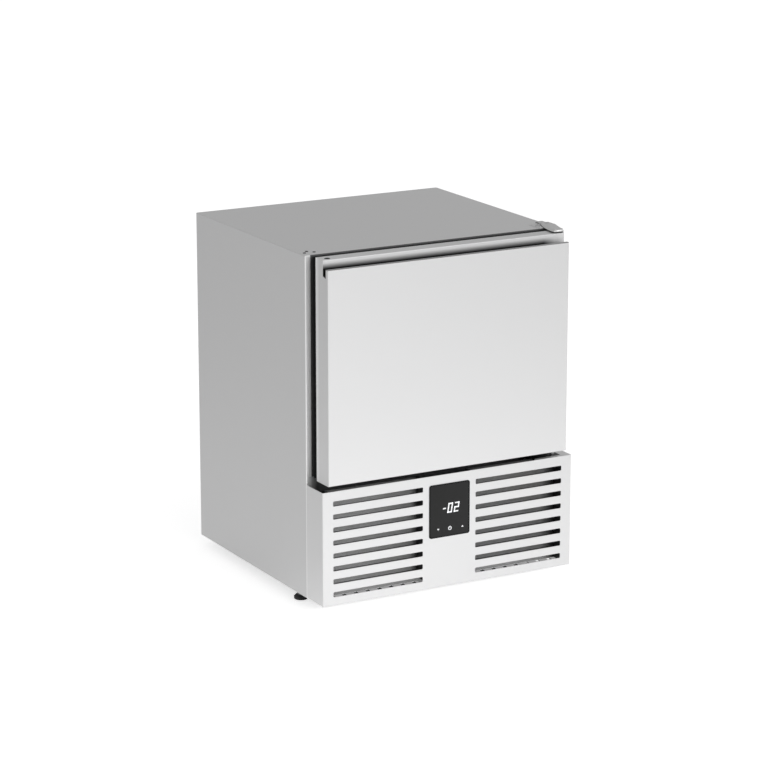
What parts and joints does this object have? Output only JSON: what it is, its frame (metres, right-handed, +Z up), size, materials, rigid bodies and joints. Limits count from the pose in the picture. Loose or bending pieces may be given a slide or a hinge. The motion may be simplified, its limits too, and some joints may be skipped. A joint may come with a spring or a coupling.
{
  "type": "compact freezer",
  "caption": "Compact under-counter freezer: steel cabinet, right-hinged insulated door with a full-width finger grip, slotted front panel with display, refrigeration unit below.",
  "frame": {"origin": "middle of the footprint at floor level, under the feet", "axes": "+X to the right seen from the front, +Y to the back, +Z up"},
  "size_m": [0.6, 0.5818, 0.756],
  "materials": {
    "steel_sheet": "brushed",
    "galvanised": "zinc coated",
    "hinge_steel": "satin",
    "zinc": "zinc coated",
    "black_steel": "black enamel",
    "coil": "bare",
    "copper": "copper",
    "motor": "dark paint",
    "foam": "rigid foam",
    "liner": "smooth",
    "breaker": "smooth",
    "black_plastic": "moulded",
    "fascia": "membrane",
    "filter_mesh": "woven mesh",
    "rubber": "soft",
    "coated_wire": "plastic coated wire",
    "foot_plastic": "moulded"
  },
  "bodies": {
    "cabinet": {"outer_shell": "steel_sheet", "back_panel": "galvanised", "compartment_ceiling": "galvanised", "front_rail": "black_steel", "base_tray": "galvanised", "wall_insulation": "foam", "inner_liner": "liner", "breaker_frame": "breaker", "grille_panel": "steel_sheet", "filter_guides": "black_plastic", "vent_filters": "filter_mesh", "control_fascia": "fascia", "controller_housing": "black_plastic", "top_hinge_plate": "hinge_steel", "bottom_hinge_plate": "hinge_steel", "top_hinge_pin": "hinge_steel", "bottom_hinge_pin": "hinge_steel", "hinge_screws": "hinge_steel", "panel_screws": "zinc", "back_panel_screws": "zinc", "foot_sockets": "zinc", "compressor": "black_steel", "compressor_terminal_cover": "black_plastic", "compressor_mounts": "rubber", "compressor_bolts": "zinc", "condenser_coil": "coil", "condenser_shroud": "galvanised", "condenser_fan_bracket": "zinc", "condenser_fan_motor": "motor", "discharge_line": "copper", "capillary_line": "copper", "suction_line": "copper", "filter_drier": "copper", "evaporator_coil": "coil", "evaporator_cover": "liner", "evaporator_fan_bracket": "zinc", "evaporator_fan_motor": "motor", "drain_tube": "liner", "evaporation_tray": "black_plastic", "shelf_runners": "hinge_steel", "temperature_probe": "black_plastic", "power_inlet": "black_plastic"},
    "door": {"door_skin": "steel_sheet", "door_insulation": "foam", "door_liner": "liner", "door_gasket": "rubber", "door_hinge_bushes": "liner"},
    "condenser_fan": {"condenser_fan": "black_plastic"},
    "evaporator_fan": {"evaporator_fan": "black_plastic"},
    "upper_shelf": {"upper_shelf": "coated_wire"},
    "lower_shelf": {"lower_shelf": "coated_wire"},
    "foot_front_left": {"foot_front_left": "foot_plastic"},
    "foot_front_right": {"foot_front_right": "foot_plastic"},
    "foot_rear_left": {"foot_rear_left": "foot_plastic"},
    "foot_rear_right": {"foot_rear_right": "foot_plastic"}
  },
  "joints": [
    {"name": "door_swing", "type": "hinge", "parent": "cabinet", "child": "door", "pos_m": [0.2705, -0.2594, 0.279], "axis": [0, 0, 1], "range_deg": [0, 130]},
    {"name": "condenser_fan_spin", "type": "hinge", "parent": "cabinet", "child": "condenser_fan", "pos_m": [-0.173, -0.143, 0.1285], "axis": [0, 1, 0], "continuous": true},
    {"name": "evaporator_fan_spin", "type": "hinge", "parent": "cabinet", "child": "evaporator_fan", "pos_m": [0, 0.178, 0.599], "axis": [0, 1, 0], "continuous": true},
    {"name": "upper_shelf_slide", "type": "slide", "parent": "cabinet", "child": "upper_shelf", "axis": [0, -1, 0], "range_m": [0, 0.025]},
    {"name": "lower_shelf_slide", "type": "slide", "parent": "cabinet", "child": "lower_shelf", "axis": [0, -1, 0], "range_m": [0, 0.025]},
    {"name": "foot_front_left_screw", "type": "slide", "parent": "cabinet", "child": "foot_front_left", "axis": [0, 0, -1], "range_m": [-0.006, 0.015]},
    {"name": "foot_front_right_screw", "type": "slide", "parent": "cabinet", "child": "foot_front_right", "axis": [0, 0, -1], "range_m": [-0.006, 0.015]},
    {"name": "foot_rear_left_screw", "type": "slide", "parent": "cabinet", "child": "foot_rear_left", "axis": [0, 0, -1], "range_m": [-0.006, 0.015]},
    {"name": "foot_rear_right_screw", "type": "slide", "parent": "cabinet", "child": "foot_rear_right", "axis": [0, 0, -1], "range_m": [-0.006, 0.015]}
  ]
}
